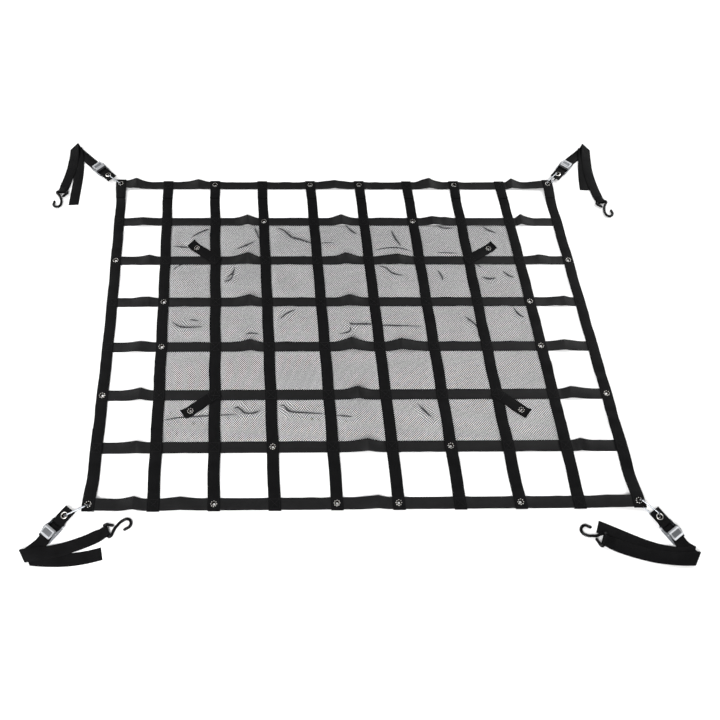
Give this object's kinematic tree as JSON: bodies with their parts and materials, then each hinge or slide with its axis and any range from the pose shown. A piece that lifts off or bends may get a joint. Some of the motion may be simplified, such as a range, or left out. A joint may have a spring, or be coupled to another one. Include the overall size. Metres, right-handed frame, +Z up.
{
  "type": "cargo net",
  "caption": "Flat webbing cargo net with a sewn-in mesh panel, eyelets, sewn-on tabs and corner straps with snap links, cam buckles and coated wire hooks.",
  "frame": {"origin": "middle of the laid-out net's outline on the ground it lies on", "axes": "+X along the net's longer side, +Y towards the far edge, +Z up"},
  "size_m": [2.1815, 1.6784, 0.0291],
  "materials": {
    "webbing": "black woven polypropylene webbing, matt",
    "mesh_cloth": "dark open polyester mesh",
    "zinc": "bright zinc plating",
    "eyelet": "bright nickel plating",
    "hook_vinyl": "black vinyl coating"
  },
  "bodies": {
    "net": {"anchor_eyelet_far_left": "eyelet", "anchor_eyelet_far_right": "eyelet", "anchor_eyelet_near_left": "eyelet", "anchor_eyelet_near_right": "eyelet", "anchor_web_far_left": "webbing", "anchor_web_far_right": "webbing", "anchor_web_near_left": "webbing", "anchor_web_near_right": "webbing", "buckle_frame_far_left": "zinc", "buckle_frame_far_right": "zinc", "buckle_frame_near_left": "zinc", "buckle_frame_near_right": "zinc", "corner_eyelet_far_left": "eyelet", "corner_eyelet_far_right": "eyelet", "corner_eyelet_near_left": "eyelet", "corner_eyelet_near_right": "eyelet", "cross_strap_1": "webbing", "cross_strap_2": "webbing", "cross_strap_3": "webbing", "cross_strap_4": "webbing", "cross_strap_5": "webbing", "cross_strap_6": "webbing", "cross_strap_7": "webbing", "cross_strap_8": "webbing", "length_strap_1": "webbing", "length_strap_10": "webbing", "length_strap_2": "webbing", "length_strap_3": "webbing", "length_strap_4": "webbing", "length_strap_5": "webbing", "length_strap_6": "webbing", "length_strap_7": "webbing", "length_strap_8": "webbing", "length_strap_9": "webbing", "long_web_far_left": "webbing", "long_web_far_right": "webbing", "long_web_near_left": "webbing", "long_web_near_right": "webbing", "mesh_panel": "mesh_cloth", "snap_link_far_left": "zinc", "snap_link_far_right": "zinc", "snap_link_near_left": "zinc", "snap_link_near_right": "zinc", "tab_eyelet_far_left": "eyelet", "tab_eyelet_far_right": "eyelet", "tab_eyelet_near_left": "eyelet", "tab_eyelet_near_right": "eyelet", "tab_far_left": "webbing", "tab_far_right": "webbing", "tab_near_left": "webbing", "tab_near_right": "webbing", "wire_hook_far_left": "hook_vinyl", "wire_hook_far_right": "hook_vinyl", "wire_hook_near_left": "hook_vinyl", "wire_hook_near_right": "hook_vinyl"},
    "lever_far_left": {"cam_lever_far_left": "zinc"},
    "lever_far_right": {"cam_lever_far_right": "zinc"},
    "lever_near_left": {"cam_lever_near_left": "zinc"},
    "lever_near_right": {"cam_lever_near_right": "zinc"}
  },
  "joints": [
    {"name": "cam_lever_far_left", "type": "hinge", "parent": "net", "child": "lever_far_left", "pos_m": [-0.93726, 0.70555, 0.015], "axis": [-0.682, -0.7314, 0], "range_deg": [0, 25], "stiffness_Nm_per_rad": 0.1, "springref_deg": -17.19},
    {"name": "cam_lever_far_right", "type": "hinge", "parent": "net", "child": "lever_far_right", "pos_m": [0.92691, 0.71826, 0.015], "axis": [-0.7771, 0.6293, 0], "range_deg": [0, 25], "stiffness_Nm_per_rad": 0.1, "springref_deg": -17.19},
    {"name": "cam_lever_near_left", "type": "hinge", "parent": "net", "child": "lever_near_left", "pos_m": [-0.83011, -0.72314, 0.015], "axis": [0.809, -0.5878, 0], "range_deg": [0, 25], "stiffness_Nm_per_rad": 0.1, "springref_deg": -17.19},
    {"name": "cam_lever_near_right", "type": "hinge", "parent": "net", "child": "lever_near_right", "pos_m": [1.02063, -0.74082, 0.015], "axis": [0.829, 0.5592, 0], "range_deg": [0, 25], "stiffness_Nm_per_rad": 0.1, "springref_deg": -17.19}
  ]
}
